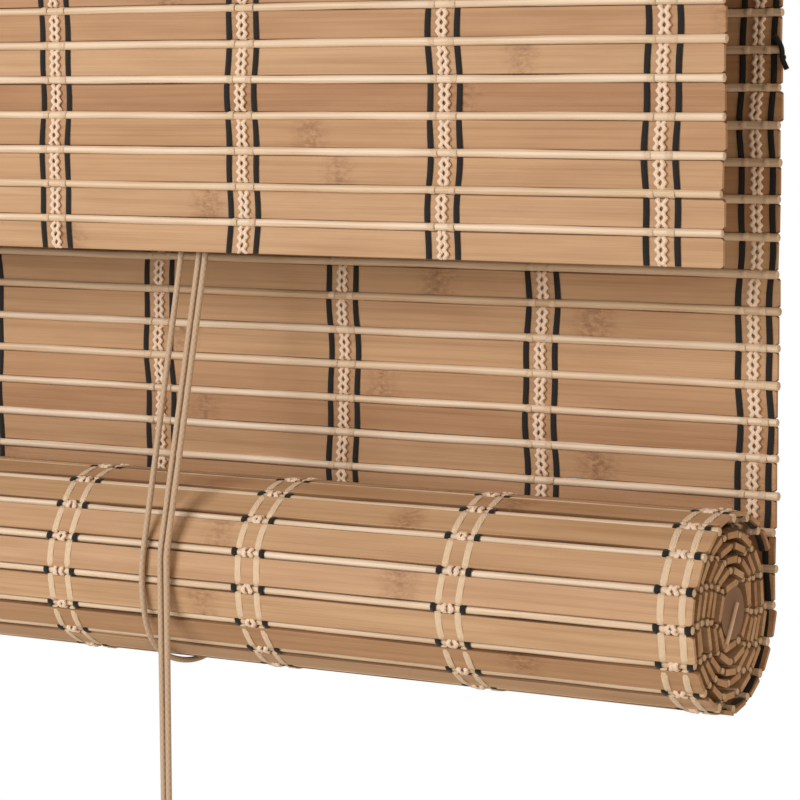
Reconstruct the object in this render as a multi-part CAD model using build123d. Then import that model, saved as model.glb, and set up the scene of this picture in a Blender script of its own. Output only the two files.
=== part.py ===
"""Bamboo roll up blind with a headrail, a woven panel rolled up from below, a valance flap and lift cords.

Millimetres. X runs along the blind, the front is -Y and Z is up, with the origin in the middle of the headrail's top face.
"""
import os
from math import asin, atan2, cos, degrees, hypot, pi, radians, sin, sqrt

from build123d import *

os.makedirs("parts", exist_ok=True)

# Headrail
blind_width = 800
headrail_depth = 40
headrail_height = 22
headrail_end_inset = 2
mount_hole_inset = 50
mount_hole_radius = 2.25
mount_recess_radius = 4.75
mount_recess_depth = 5

# Woven mat of flat slats and round rods
slat_width = 8.8
slat_thickness = 1.4
rod_diameter = 2.7
rod_sides = 10
weave_gap = 0.1
rod_overhang = 0.3

# Stitch lines
stitch_lines = 11
valance_stitch_inset = 20.5
panel_stitch_inset = 7.8
black_thread_width = 2.3
black_thread_offset = 5.3
black_thread_thickness = 0.6
chain_width = 3.6
chain_thickness = 0.9
back_thread_width = 2.2
back_thread_offset = 3.6
back_thread_thickness = 0.4

# Rows
valance_rows = 15
panel_rows = 24
panel_top_drop = 2.8

# Roll
tangent_above_edge = 0.8
outer_turn_radius = 31
outer_turn_tightening = 0.5
outer_turn_rows = 15
inner_start_radius = 27.8
inner_start_angle = 364
inner_end_radius = 10.5
inner_turn_pitch = 3.6
inner_end_recess = 1.2
inner_rod_sides = 6
dowel_clearance = 0.1
dowel_recess = 1
peg_diameter = 1
peg_length = 14.5
peg_drop = 3.7
peg_lean_angle = 35

# Cords
cord_diameter = 2
cord_clearance = 0.3
cord_butt_gap = 0.1
lift_cord_share = 0.25
lift_drift = 3
pass_gap = 3
pull_gap = 2.6
pull_drift = 2.3
pull_end_drop = 75
hank_height = 58
hank_width = 28
hank_depth = 11
hank_bevel = 2.5
tie_height = 7
tie_thickness = 1.2
acorn_gap = 6
acorn_height = 30
acorn_top_radius = 4.5
acorn_belly_radius = 9
acorn_base_radius = 7
acorn_waist_share = 0.25
acorn_belly_share = 0.75

# Pulleys and cord lock
wheel_pitch_radius = 4.25
wheel_rim_radius = 5.25
wheel_width = 3.6
groove_width = 2.7
groove_floor_width = 1.6
groove_side_radius = 3.3
pin_diameter = 2.2
pin_head = 0.6
running_clearance = 0.3
bore_clearance = 0.05
seat_clearance = 0.02
plate_thickness = 1
wheel_drop = 8.5
wheel_plane_gap = 4.5
lock_front_inset = 4
cheek_margin = 6.5
cheek_below = 7
foot_length = 9
foot_screw_inset = 4.5
cam_reach = 5
cam_base_radius = 3.6
cam_teeth = 18
cam_tooth_depth = 0.4
cam_tail_length = 7.5
cam_tail_height = 3
cam_gap = 0.4
cam_drop = 1

# Fasteners
screw_radius = 1.5
screw_length = 14
screw_head_radius = 3
screw_head_height = 1.6
staple_wire = 0.8
staple_crown = 10
staple_leg = 8
staple_stitch_shift_share = 0.3
cord_staple_crown = 4.4
cord_staple_leg = 12

# Values that follow from the ones above
pitch = slat_width + rod_diameter + 2 * weave_gap
rod_radius = rod_diameter / 2
rod_offset = rod_radius - slat_thickness / 2
rod_drop = slat_width / 2 + weave_gap + rod_radius
cord_radius = cord_diameter / 2
half_slat = slat_thickness / 2
half_width = blind_width / 2
mount_hole_spacing = blind_width - 2 * mount_hole_inset
stitch_spacing = (blind_width - 2 * valance_stitch_inset) / (stitch_lines - 1)
staple_lines = range(0, stitch_lines - 1, 2)
lift_rise_x = blind_width * lift_cord_share
lift_cord_x = lift_rise_x + lift_drift
valance_y = -(headrail_depth / 2 + back_thread_thickness + half_slat)
panel_y = headrail_depth / 2 + rod_offset + rod_radius
valance_bottom = -((valance_rows - 1) * pitch + slat_width)
panel_bottom = -(panel_top_drop + (panel_rows - 1) * pitch + slat_width)
roll_y = panel_y - outer_turn_radius
roll_z = panel_bottom + tangent_above_edge
loop_radius = outer_turn_radius + half_slat + 2 * back_thread_thickness + cord_radius + cord_clearance
wheel_z = -(headrail_height + wheel_drop)
front_plane_y = -(headrail_depth / 2 - lock_front_inset)
back_plane_y = front_plane_y + wheel_plane_gap
lock_wheel_x = lift_rise_x + wheel_pitch_radius
pull_x = lift_rise_x + 2 * wheel_pitch_radius
pulley_wheel_x = -lift_rise_x + wheel_pitch_radius
pass_y = valance_y + half_slat + back_thread_thickness + pass_gap


def save(node, *solids):
    """Write one node as one solid, or as a group of separate solids."""
    shape = solids[0] if len(solids) == 1 else Compound(children=list(solids))
    export_step(shape, f"parts/{node}.step")


def slat():
    """A flat slat along X whose back faces +Y."""
    return Box(blind_width, slat_thickness, slat_width)


def rod(sides, length):
    """A round rod along X, flush with the slats' backs."""
    section = Plane.YZ * RegularPolygon(rod_radius, sides)
    return Pos(0, -rod_offset, 0) * extrude(section, length / 2, both=True)


def stitch_xs(right_inset):
    """X of each stitch line, counted from the right end of the mat."""
    return [half_width - right_inset - k * stitch_spacing for k in range(stitch_lines)]


def strips(centres, offsets, width, depth, front, y, top, bottom):
    """Upright thread strips on a mat's front or back face."""
    face = y - half_slat - depth / 2 if front else y + half_slat + depth / 2
    strip = Box(width, depth, top - bottom)
    return [Pos(x + o, face, (top + bottom) / 2) * strip for x in centres for o in offsets]


# Headrail board
headrail = Pos(0, 0, -headrail_height / 2) * Box(
    blind_width - 2 * headrail_end_inset, headrail_depth, headrail_height
)
for side in (-1, 1):
    place = Pos(side * mount_hole_spacing / 2, 0, -headrail_height / 2)
    headrail -= place * Cylinder(mount_hole_radius, headrail_height)
    recess = Cylinder(mount_recess_radius, mount_recess_depth)
    headrail -= Pos(0, 0, (mount_recess_depth - headrail_height) / 2) * place * recess
lock_left = lock_wheel_x - cheek_margin
lock_cam_x = pull_x + cord_radius + cam_gap + cam_reach
lock_right = lock_cam_x + cam_tail_length
pulley_left = pulley_wheel_x - cheek_margin
pulley_right = pulley_wheel_x + cheek_margin
lock_y = (front_plane_y + back_plane_y) / 2
screw_places = [
    (pulley_left - foot_length + foot_screw_inset, back_plane_y),
    (pulley_right + foot_length - foot_screw_inset, back_plane_y),
    (lock_left - foot_length + foot_screw_inset, lock_y),
    (lock_right + foot_length - foot_screw_inset, lock_y),
]
pilot_depth = screw_length - plate_thickness
for x, y in screw_places:
    pilot = Cylinder(screw_radius + seat_clearance, pilot_depth)
    headrail -= Pos(x, y, pilot_depth / 2 - headrail_height) * pilot
save("headrail", headrail)

# Bracket screws
screw = Pos(0, 0, screw_length / 2) * Cylinder(screw_radius, screw_length)
screw += Pos(0, 0, -screw_head_height / 2) * Cylinder(screw_head_radius, screw_head_height)
screw_seat = -headrail_height - plate_thickness
save("bracket_screws", *[Pos(x, y, screw_seat) * screw for x, y in screw_places])


def staple(crown, leg):
    """A wire staple with its crown along X and its legs toward +Y."""
    legs = [Pos(s * (crown - staple_wire) / 2, leg / 2, 0) * Box(staple_wire, leg, staple_wire) for s in (-1, 1)]
    return Pos(0, -staple_wire / 2, 0) * Box(crown, staple_wire, staple_wire) + legs


# Staples of the two mats and of the cords' fixed ends
staple_shift = stitch_spacing * staple_stitch_shift_share
valance_xs = stitch_xs(valance_stitch_inset)
panel_xs = stitch_xs(panel_stitch_inset)
valance_staple = Pos(0, valance_y - half_slat, -slat_width / 2) * staple(staple_crown, staple_leg)
save("valance_staples", *[Pos(valance_xs[k] - staple_shift, 0, 0) * valance_staple for k in staple_lines])
panel_first_z = -panel_top_drop - slat_width / 2
panel_staple = Pos(0, panel_y + half_slat, panel_first_z) * Rot(0, 0, 180) * staple(staple_crown, staple_leg)
save("panel_staples", *[Pos(panel_xs[k] - staple_shift, 0, 0) * panel_staple for k in staple_lines])
strand_y = roll_y + loop_radius
cord_staple_y = strand_y + cord_radius
cord_staple = Rot(0, 0, 180) * staple(cord_staple_crown, cord_staple_leg)
cord_staple = Pos(0, cord_staple_y, panel_first_z) * cord_staple
save("cord_staples", *[Pos(s * lift_cord_x, 0, 0) * cord_staple for s in (-1, 1)])

# Valance mat: the stapled top slat, the rod it swings on and the flap
valance_zs = [-slat_width / 2 - k * pitch for k in range(valance_rows)]
flap_zs = valance_zs[1:]
rod_length = blind_width + 2 * rod_overhang
save("valance_top_slat", Pos(0, valance_y, valance_zs[0]) * slat())
hinge_rod = Rot(0, 90, 0) * Cylinder(rod_radius, rod_length)
save("valance_hinge_rod", Pos(0, valance_y - rod_offset, valance_zs[0] - rod_drop) * hinge_rod)
save("valance_slats", *[Pos(0, valance_y, z) * slat() for z in flap_zs])
flap_rod_zs = [z - rod_drop for z in flap_zs[:-1]]
save("valance_rods", *[Pos(0, valance_y, z) * rod(rod_sides, rod_length) for z in flap_rod_zs])
flap_span = (valance_y, flap_zs[0] + slat_width / 2, valance_bottom)
black_pair = (-black_thread_offset, black_thread_offset)
back_pair = (-back_thread_offset, back_thread_offset)
black = (black_pair, black_thread_width, black_thread_thickness, True)
chain = ((0,), chain_width, chain_thickness, True)
back = (back_pair, back_thread_width, back_thread_thickness, False)
save("valance_black_threads", *strips(valance_xs, *black, *flap_span))
save("valance_chain_threads", *strips(valance_xs, *chain, *flap_span))
save("valance_back_threads", *strips(valance_xs, *back, *flap_span))

# Panel mat, the flat part above the roll
panel_zs = [panel_first_z - k * pitch for k in range(panel_rows)]
panel_rod_zs = [z - rod_drop for z in panel_zs[:-1]]
panel_span = (panel_y, -panel_top_drop, panel_bottom)
save("panel_slats", *[Pos(0, panel_y, z) * slat() for z in panel_zs])
save("panel_rods", *[Pos(0, panel_y, z) * rod(rod_sides, rod_length) for z in panel_rod_zs])
save("panel_black_threads", *strips(panel_xs, *black, *panel_span))
save("panel_chain_threads", *strips(panel_xs, *chain, *panel_span))
save("panel_back_threads", *strips(panel_xs, *back, *panel_span))


def around(angle, radius):
    """Place on the roll at an angle in degrees from the rear, going down, under and up the front."""
    return Pos(0, roll_y, roll_z) * Rot(-angle, 0, 0) * Pos(0, radius, 0)


def turn_radius(angle):
    """Radius of the outer turn's middle at an angle in degrees."""
    return outer_turn_radius - outer_turn_tightening * angle / 360


# Outer turn of the roll, with its slats' backs outward
half_pitch_length = pitch / 2
turn_angle = degrees((tangent_above_edge + weave_gap + rod_radius) / outer_turn_radius)
turn_rod_angles = []
turn_slat_angles = []
for _ in range(outer_turn_rows):
    turn_rod_angles.append(turn_angle)
    turn_angle += degrees(half_pitch_length / turn_radius(turn_angle))
    turn_slat_angles.append(turn_angle)
    turn_angle += degrees(half_pitch_length / turn_radius(turn_angle))
save("outer_turn_slats", *[around(a, turn_radius(a)) * slat() for a in turn_slat_angles])
save("outer_turn_rods", *[around(a, turn_radius(a)) * rod(rod_sides, rod_length) for a in turn_rod_angles])


def turn_outline(lift):
    """Points over the rods where the lines along the slats' backs meet, a lift above those backs."""
    first = turn_slat_angles[0]
    last = turn_slat_angles[-1]
    faces = [(a, turn_radius(a) + half_slat + lift) for a in turn_slat_angles]
    points = [along(first, faces[0][1], -slat_width / 2)]
    for (a, r), (b, s) in zip(faces, faces[1:]):
        bend = radians(b - a)
        points.append(along(a, r, (s - r * cos(bend)) / sin(bend)))
    points.append(along(last, faces[-1][1], slat_width / 2))
    return points


def along(angle, radius, run):
    """Point in the roll's end plane on the line square to a radius, a run further round."""
    a = radians(angle)
    y = radius * cos(a) - run * sin(a)
    z = -radius * sin(a) - run * cos(a)
    return roll_y + y, roll_z + z


ring = Plane.YZ * make_face(Polyline(*turn_outline(0), *turn_outline(back_thread_thickness)[::-1], close=True))
ring = extrude(ring, back_thread_width / 2, both=True)
save("outer_turn_threads", *[Pos(x + o, 0, 0) * ring for x in panel_xs for o in back_pair])

# Inner turns, one wound strip of slats with a rod at each fold
fold_angle = inner_start_angle
fold_radius = inner_start_radius
folds = []
while fold_radius > inner_end_radius:
    folds.append((fold_angle, fold_radius))
    turned = 2 * asin(pitch / (2 * fold_radius))
    fold_angle += degrees(turned)
    fold_radius -= inner_turn_pitch * turned / (2 * pi)
spots = [along(a, r, 0) for a, r in folds]
inner = Sketch()
for (y0, z0), (y1, z1) in zip(spots, spots[1:]):
    tilt = degrees(atan2(z1 - z0, y1 - y0))
    chord = hypot(y1 - y0, z1 - z0)
    inner += Pos((y0 + y1) / 2, (z0 + z1) / 2) * Rot(0, 0, tilt) * Rectangle(chord, slat_thickness)
for a, r in folds:
    inner += Pos(*along(a, r - rod_offset, 0)) * RegularPolygon(rod_radius, inner_rod_sides)
inner_turns = extrude(Plane.YZ * inner, half_width - inner_end_recess, both=True)
save("inner_turns", inner_turns)

# Core dowel, as thick as the innermost row leaves room for, with the small peg that pins the mat's end
(last_y, last_z), (end_y, end_z) = spots[-2:]
last_row = (end_y - last_y) * (last_z - roll_z) - (end_z - last_z) * (last_y - roll_y)
last_distance = abs(last_row) / hypot(end_y - last_y, end_z - last_z)
dowel_room = min(last_distance - half_slat, folds[-1][1] - rod_offset - rod_radius)
dowel_radius = dowel_room - dowel_clearance
dowel_length = blind_width - 2 * dowel_recess
save("core_dowel", Pos(0, roll_y, roll_z) * Rot(0, 90, 0) * Cylinder(dowel_radius, dowel_length))
peg_x = half_width - dowel_recess + peg_diameter / 2
peg = Cylinder(peg_diameter / 2, peg_length)
save("core_peg", Pos(peg_x, roll_y, roll_z) * Rot(-peg_lean_angle, 0, 0) * Pos(0, 0, -peg_drop) * peg)


def wheel():
    """A grooved pulley wheel about Y."""
    bore = pin_diameter / 2 + bore_clearance
    floor = wheel_pitch_radius - cord_radius - cord_clearance
    half = wheel_width / 2
    outline = [(bore, -half), (wheel_rim_radius, -half), (wheel_rim_radius, -groove_width / 2)]
    outline += [(groove_side_radius, -groove_width / 2), (floor, -groove_floor_width / 2)]
    outline += [(r, -z) for r, z in outline[::-1]]
    section = Plane.XZ * make_face(Polyline(*outline, close=True))
    return Rot(90, 0, 0) * revolve(section, Axis.Z)


def housing(left, right, front, rear, pins):
    """A folded steel housing under the headrail: two cheeks, a web and a foot with a screw hole at each end."""
    top = -headrail_height
    web_z = top - plate_thickness / 2
    middle_x = (left + right) / 2
    middle_y = (front + rear) / 2
    foot_span = right - left + 2 * foot_length
    depth = rear - front + 2 * plate_thickness
    shape = Pos(middle_x, middle_y, web_z) * Box(foot_span, depth, plate_thickness)
    low = wheel_z - cheek_below
    for y in (front - plate_thickness / 2, rear + plate_thickness / 2):
        shape += Pos(middle_x, y, (top + low) / 2) * Box(right - left, plate_thickness, top - low)
    for x in (left - foot_length + foot_screw_inset, right + foot_length - foot_screw_inset):
        shape -= Pos(x, middle_y, web_z) * Cylinder(screw_radius + seat_clearance, plate_thickness)
    for x, z in pins:
        shape -= Pos(x, middle_y, z) * Rot(90, 0, 0) * Cylinder(pin_diameter / 2 + seat_clearance, depth)
    return shape


def pin(x, z, front, rear):
    """A pin along Y through both cheeks, with a head outside each."""
    length = rear - front + 2 * plate_thickness
    shape = Rot(90, 0, 0) * Cylinder(pin_diameter / 2, length)
    for side in (-1, 1):
        head = Rot(90, 0, 0) * Cylinder(pin_diameter / 2 + pin_head, pin_head)
        shape += Pos(0, side * (length + pin_head) / 2, 0) * head
    return Pos(x, (front + rear) / 2, z) * shape


# Left pulley
wheel_reach = wheel_width / 2 + running_clearance
pulley_front = back_plane_y - wheel_reach
pulley_rear = back_plane_y + wheel_reach
pulley_pins = [(pulley_wheel_x, wheel_z)]
save("pulley_bracket", housing(pulley_left, pulley_right, pulley_front, pulley_rear, pulley_pins))
save("pulley_pin", pin(pulley_wheel_x, wheel_z, pulley_front, pulley_rear))
save("pulley_wheel", Pos(pulley_wheel_x, back_plane_y, wheel_z) * wheel())

# Cord lock with a wheel for each cord and a toothed cam that pinches both against them
lock_front = front_plane_y - wheel_reach
lock_rear = back_plane_y + wheel_reach
lock_cam_z = wheel_z - cam_drop
lock_pins = [(lock_wheel_x, wheel_z), (lock_cam_x, lock_cam_z)]
save("lock_housing", housing(lock_left, lock_right, lock_front, lock_rear, lock_pins))
save("lock_wheel_pin", pin(lock_wheel_x, wheel_z, lock_front, lock_rear))
save("lock_cam_pin", pin(lock_cam_x, lock_cam_z, lock_front, lock_rear))
save("lock_front_wheel", Pos(lock_wheel_x, front_plane_y, wheel_z) * wheel())
save("lock_back_wheel", Pos(lock_wheel_x, back_plane_y, wheel_z) * wheel())
cam_width = lock_rear - lock_front - 2 * running_clearance
cam_points = []
for k in range(2 * cam_teeth):
    a = pi * k / cam_teeth
    r = cam_base_radius - cam_tooth_depth * (k % 2)
    cam_points.append((r * cos(a) - (cam_reach - cam_base_radius), r * sin(a)))
cam = Plane.XZ * make_face(Polyline(*cam_points, close=True))
cam += Plane.XZ * Pos(cam_tail_length / 2, 0) * Rectangle(cam_tail_length, cam_tail_height)
cam = extrude(cam, cam_width / 2, both=True)
cam -= Rot(90, 0, 0) * Cylinder(pin_diameter / 2 + bore_clearance, cam_width)
save("lock_cam", Pos(lock_cam_x, lock_y, lock_cam_z) * cam)


def tube(path):
    """A cord along a path."""
    start = Plane(origin=path @ 0, z_dir=path % 0)
    return sweep(start * Circle(cord_radius), path=path)


def tangent_angle(y, z):
    """Angle on the roll where a cord from a point in front and above meets its loop."""
    far = hypot(y - roll_y, z - roll_z)
    return degrees(atan2(roll_z - z, y - roll_y)) % 360 - degrees(asin(sqrt(far**2 - loop_radius**2) / far))


# Lift cords, each stapled behind the panel, looped under the roll and led up the front to its wheel
front_angle = tangent_angle(pass_y, valance_bottom)
front_y, front_z = along(front_angle, loop_radius, 0)
half_turn_y, half_turn_z = along(front_angle / 2, loop_radius, 0)
for name, side, plane_y in (("right", 1, front_plane_y), ("left", -1, back_plane_y)):
    x = side * lift_cord_x
    save(f"{name}_back_strand", tube(Line((x, strand_y, roll_z), (x, strand_y, panel_first_z + slat_width / 2))))
    loop = ThreePointArc((x, strand_y, roll_z), (x, half_turn_y, half_turn_z), (x, front_y, front_z))
    save(f"{name}_cord_loop", tube(loop))
    rise_x = side * lift_rise_x
    route = [(x, front_y, front_z + cord_butt_gap), (rise_x, pass_y, valance_bottom)]
    route.append((rise_x, plane_y, wheel_z - cord_butt_gap))
    save(f"{name}_front_strand", tube(FilletPolyline(*route, radius=loop_radius)))

# Right cord over its lock wheel, and the left cord over its pulley and along the headrail to the lock
crown_z = wheel_z + wheel_pitch_radius
corner = wheel_pitch_radius * sin(pi / 4)
right_turn = ThreePointArc(
    (lift_rise_x, front_plane_y, wheel_z),
    (lock_wheel_x, front_plane_y, crown_z),
    (pull_x, front_plane_y, wheel_z),
)
save("right_cord_turn", tube(right_turn))
rise = ThreePointArc(
    (-lift_rise_x, back_plane_y, wheel_z),
    (pulley_wheel_x - corner, back_plane_y, wheel_z + corner),
    (pulley_wheel_x, back_plane_y, crown_z),
)
crossing = Line((pulley_wheel_x, back_plane_y, crown_z), (lock_wheel_x, back_plane_y, crown_z))
fall = ThreePointArc(
    (lock_wheel_x, back_plane_y, crown_z),
    (lock_wheel_x + corner, back_plane_y, wheel_z + corner),
    (pull_x, back_plane_y, wheel_z),
)
save("cross_cord", tube(Wire([rise, crossing, fall])))

# Pull strands, side by side down behind the valance and over the front of the roll
strand_front_y = roll_y - loop_radius
pull_end_z = roll_z - pull_end_drop
for name, side, plane_y in (("right", -1, front_plane_y), ("left", 1, back_plane_y)):
    pass_x = pull_x + side * pull_gap / 2
    over_x = pass_x + pull_drift
    route = [(pull_x, plane_y, wheel_z - cord_butt_gap), (pass_x, pass_y, valance_bottom)]
    route += [(over_x, strand_front_y, front_z), (over_x, strand_front_y, roll_z)]
    save(f"{name}_pull_upper", tube(FilletPolyline(*route, radius=loop_radius)))
    lower = Line((over_x, strand_front_y, roll_z), (over_x, strand_front_y, pull_end_z))
    save(f"{name}_pull_lower", tube(lower))

# Spare pull cord tied up in a hank, with a turned acorn on the ends
hank_x = pull_x + pull_drift
hank_z = pull_end_z - hank_height / 2
hank = extrude(Plane.XZ * SlotOverall(hank_height, hank_width, rotation=90), hank_depth / 2, both=True)
hank_rims = hank.faces().sort_by(Axis.Y)[0].edges() + hank.faces().sort_by(Axis.Y)[-1].edges()
hank = chamfer(hank_rims, hank_bevel)
save("cord_hank", Pos(hank_x, strand_front_y, hank_z) * hank)
tie = Box(hank_width + 2 * tie_thickness, hank_depth + 2 * tie_thickness, tie_height)
tie -= Box(hank_width, hank_depth, tie_height)
save("hank_tie", Pos(hank_x, strand_front_y, hank_z) * tie)
acorn_top = hank_z - hank_height / 2 - acorn_gap
tail = Line((0, 0, acorn_gap), (0, 0, 0))
save("acorn_tail", Pos(hank_x, strand_front_y, acorn_top) * tube(tail))
profile = [(0, 0), (acorn_top_radius, 0), (acorn_top_radius, -acorn_height * acorn_waist_share)]
profile += [(acorn_belly_radius, -acorn_height * acorn_belly_share), (acorn_base_radius, -acorn_height)]
profile += [(0, -acorn_height)]
acorn = revolve(Plane.XZ * make_face(Polyline(*profile, close=True)), Axis.Z)
save("acorn", Pos(hank_x, strand_front_y, acorn_top) * acorn)
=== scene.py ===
"""Looks of the bamboo roll up blind: woven slats and rods, threads, the roll, the cords and the fittings."""

import bmesh
import bpy
import numpy as np
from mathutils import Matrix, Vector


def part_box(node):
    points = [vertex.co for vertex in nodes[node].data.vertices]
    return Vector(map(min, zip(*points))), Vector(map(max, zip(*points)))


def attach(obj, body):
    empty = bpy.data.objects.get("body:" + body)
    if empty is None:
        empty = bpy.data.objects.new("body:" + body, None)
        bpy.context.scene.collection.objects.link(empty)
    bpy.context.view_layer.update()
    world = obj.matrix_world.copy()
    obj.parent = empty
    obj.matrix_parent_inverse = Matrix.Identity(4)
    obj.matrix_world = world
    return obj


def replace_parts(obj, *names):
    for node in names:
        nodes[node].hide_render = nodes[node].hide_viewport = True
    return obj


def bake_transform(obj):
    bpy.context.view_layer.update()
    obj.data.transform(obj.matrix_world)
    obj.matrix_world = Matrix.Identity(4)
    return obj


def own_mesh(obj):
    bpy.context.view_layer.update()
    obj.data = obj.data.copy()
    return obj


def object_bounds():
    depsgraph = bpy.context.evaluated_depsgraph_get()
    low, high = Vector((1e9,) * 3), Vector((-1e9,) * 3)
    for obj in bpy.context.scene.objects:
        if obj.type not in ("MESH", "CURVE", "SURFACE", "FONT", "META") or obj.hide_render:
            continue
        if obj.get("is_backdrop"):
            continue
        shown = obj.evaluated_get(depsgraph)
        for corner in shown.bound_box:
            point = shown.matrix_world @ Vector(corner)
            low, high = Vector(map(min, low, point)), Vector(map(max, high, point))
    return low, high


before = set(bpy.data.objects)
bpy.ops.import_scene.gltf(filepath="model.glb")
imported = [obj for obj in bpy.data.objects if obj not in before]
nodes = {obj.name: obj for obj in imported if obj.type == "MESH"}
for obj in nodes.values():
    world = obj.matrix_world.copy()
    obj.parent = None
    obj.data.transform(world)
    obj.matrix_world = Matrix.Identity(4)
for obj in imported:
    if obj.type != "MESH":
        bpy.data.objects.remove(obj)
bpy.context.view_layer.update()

# Camera, floor and light.
# The camera was fitted to the rods and stitch lines.
# The photograph is lit softly from the upper left, on white.
camera_drop, camera_turn = 5.73, 30.02
camera = bpy.data.objects.new("camera", bpy.data.cameras.new("camera"))
bpy.context.collection.objects.link(camera)
camera.location = (0.7682, -0.8537, -0.1219)
camera.rotation_euler = np.radians((90 - camera_drop, 0, camera_turn))
camera.data.lens = 135
camera.data.sensor_width = 36
camera.data.clip_end = 50
bpy.context.scene.camera = camera
bpy.context.scene.view_settings.view_transform = "Standard"


def white_to_camera(tree, shade):
    """Mix of a shade for the light and plain white for what the camera sees, also through glass."""
    path = tree.nodes.new("ShaderNodeLightPath")
    seen = tree.nodes.new("ShaderNodeMath")
    seen.operation = "MAXIMUM"
    tree.links.new(path.outputs["Is Camera Ray"], seen.inputs[0])
    tree.links.new(path.outputs["Is Transmission Ray"], seen.inputs[1])
    in_world = shade.bl_idname == "ShaderNodeBackground"
    white = tree.nodes.new("ShaderNodeBackground" if in_world else "ShaderNodeEmission")
    white.inputs["Color"].default_value = (1, 1, 1, 1)
    mix = tree.nodes.new("ShaderNodeMixShader")
    tree.links.new(seen.outputs[0], mix.inputs["Fac"])
    tree.links.new(shade.outputs[0], mix.inputs[1])
    tree.links.new(white.outputs[0], mix.inputs[2])
    return mix


world = bpy.data.worlds.new("studio")
bpy.context.scene.world = world
world.use_nodes = True
sky = world.node_tree.nodes["Background"]
sky.inputs["Color"].default_value = (1, 0.85, 0.71, 1)
sky.inputs["Strength"].default_value = 0.37
sky_mix = white_to_camera(world.node_tree, sky)
world.node_tree.links.new(sky_mix.outputs[0], world.node_tree.nodes["World Output"].inputs["Surface"])

floor_reach, floor_z = 6, -1.1
floor_corners = [(x * floor_reach, y * floor_reach, floor_z) for x, y in ((-1, -1), (1, -1), (1, 1), (-1, 1))]
floor_mesh = bpy.data.meshes.new("floor")
floor_mesh.from_pydata(floor_corners, [], [(0, 1, 2, 3)])
floor = bpy.data.objects.new("floor", floor_mesh)
bpy.context.collection.objects.link(floor)
floor_paint = bpy.data.materials.new("floor")
floor_paint.use_nodes = True
floor_shade = floor_paint.node_tree.nodes["Principled BSDF"]
floor_shade.inputs["Base Color"].default_value = (0.85, 0.84, 0.82, 1)
floor_shade.inputs["Roughness"].default_value = 0.9
floor_mix = white_to_camera(floor_paint.node_tree, floor_shade)
floor_out = floor_paint.node_tree.nodes["Material Output"].inputs["Surface"]
floor_paint.node_tree.links.new(floor_mix.outputs[0], floor_out)
floor_mesh.materials.append(floor_paint)
floor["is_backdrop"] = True


def lamp(name, place, aim, size, power, colour):
    """A square soft light at a place, turned to a point."""
    data = bpy.data.lights.new(name, "AREA")
    data.size = size
    data.energy = power
    data.color = colour
    light = bpy.data.objects.new(name, data)
    bpy.context.collection.objects.link(light)
    light.location = place
    x, y, z = np.subtract(aim, place)
    light.rotation_euler = (np.arctan2(np.hypot(x, y), -z), 0, np.arctan2(x, -y) + np.pi)


lamp("key", (-0.55, -1.5, 0.42), aim=(0.25, 0, -0.2), size=1.0, power=24, colour=(1, 0.985, 0.97))
lamp("fill", (0.2, -1.3, -0.95), aim=(0.2, 0, -0.25), size=0.8, power=4.5, colour=(1, 0.93, 0.84))
lamp("side", (2.2, -0.5, 0.1), aim=(0.4, 0, -0.25), size=0.8, power=12, colour=(1, 0.83, 0.64))

# Bamboo slats of the valance, the panel and the outer turn.
# Each is a split of cane with eased edges, rounded ends, a slight bow and brown joint marks.
# Each has its own tone.
joint_spacing = 0.29


def effect_group(name, **inputs):
    """An empty node group with named inputs of the given kinds, and the outputs Color and Height."""
    group = bpy.data.node_groups.new(name, "ShaderNodeTree")
    for label, kind in inputs.items():
        group.interface.new_socket(label, in_out="INPUT", socket_type=f"NodeSocket{kind}")
    group.interface.new_socket("Color", in_out="OUTPUT", socket_type="NodeSocketColor")
    group.interface.new_socket("Height", in_out="OUTPUT", socket_type="NodeSocketFloat")
    return group, group.nodes.new("NodeGroupInput"), group.nodes.new("NodeGroupOutput")


def ramp(tree, source, stops):
    """A colour ramp through position and colour stops."""
    node = tree.nodes.new("ShaderNodeValToRGB")
    while len(node.color_ramp.elements) < len(stops):
        node.color_ramp.elements.new(0.5)
    for element, (position, colour) in zip(node.color_ramp.elements, stops):
        element.position = position
        element.color = (*colour, 1)
    tree.links.new(source, node.inputs["Fac"])
    return node.outputs["Color"]


def maths(tree, operation, *values):
    """A math node on numbers and sockets."""
    node = tree.nodes.new("ShaderNodeMath")
    node.operation = operation
    for socket, value in zip(node.inputs, values):
        if isinstance(value, bpy.types.NodeSocket):
            tree.links.new(value, socket)
        else:
            socket.default_value = value
    return node.outputs[0]


def shared(tree, first, second, share):
    """Two values added, the first by a share and the second by the rest."""
    rest = maths(tree, "MULTIPLY", second, 1 - share)
    return maths(tree, "ADD", maths(tree, "MULTIPLY", first, share), rest)


def mixed(tree, kind, share, first, second):
    """A colour mix of the given kind; share, first and second are sockets, numbers or colours."""
    node = tree.nodes.new("ShaderNodeMix")
    node.data_type = "RGBA"
    node.blend_type = kind
    sockets = (node.inputs["Factor"], node.inputs["A"], node.inputs["B"])
    for socket, value in zip(sockets, (share, first, second)):
        if isinstance(value, bpy.types.NodeSocket):
            tree.links.new(value, socket)
        elif isinstance(value, tuple):
            socket.default_value = (*value, 1)
        else:
            socket.default_value = value
    return node.outputs["Result"]


def object_place(tree):
    """Coordinates in the object's own frame, which is the blind's."""
    return tree.nodes.new("ShaderNodeTexCoord").outputs["Object"]


def noise(tree, vector, scale, detail, roughness):
    """A noise value at a scale on given coordinates."""
    node = tree.nodes.new("ShaderNodeTexNoise")
    node.inputs["Scale"].default_value = scale
    node.inputs["Detail"].default_value = detail
    node.inputs["Roughness"].default_value = roughness
    tree.links.new(vector, node.inputs["Vector"])
    return node.outputs["Fac"]


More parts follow.
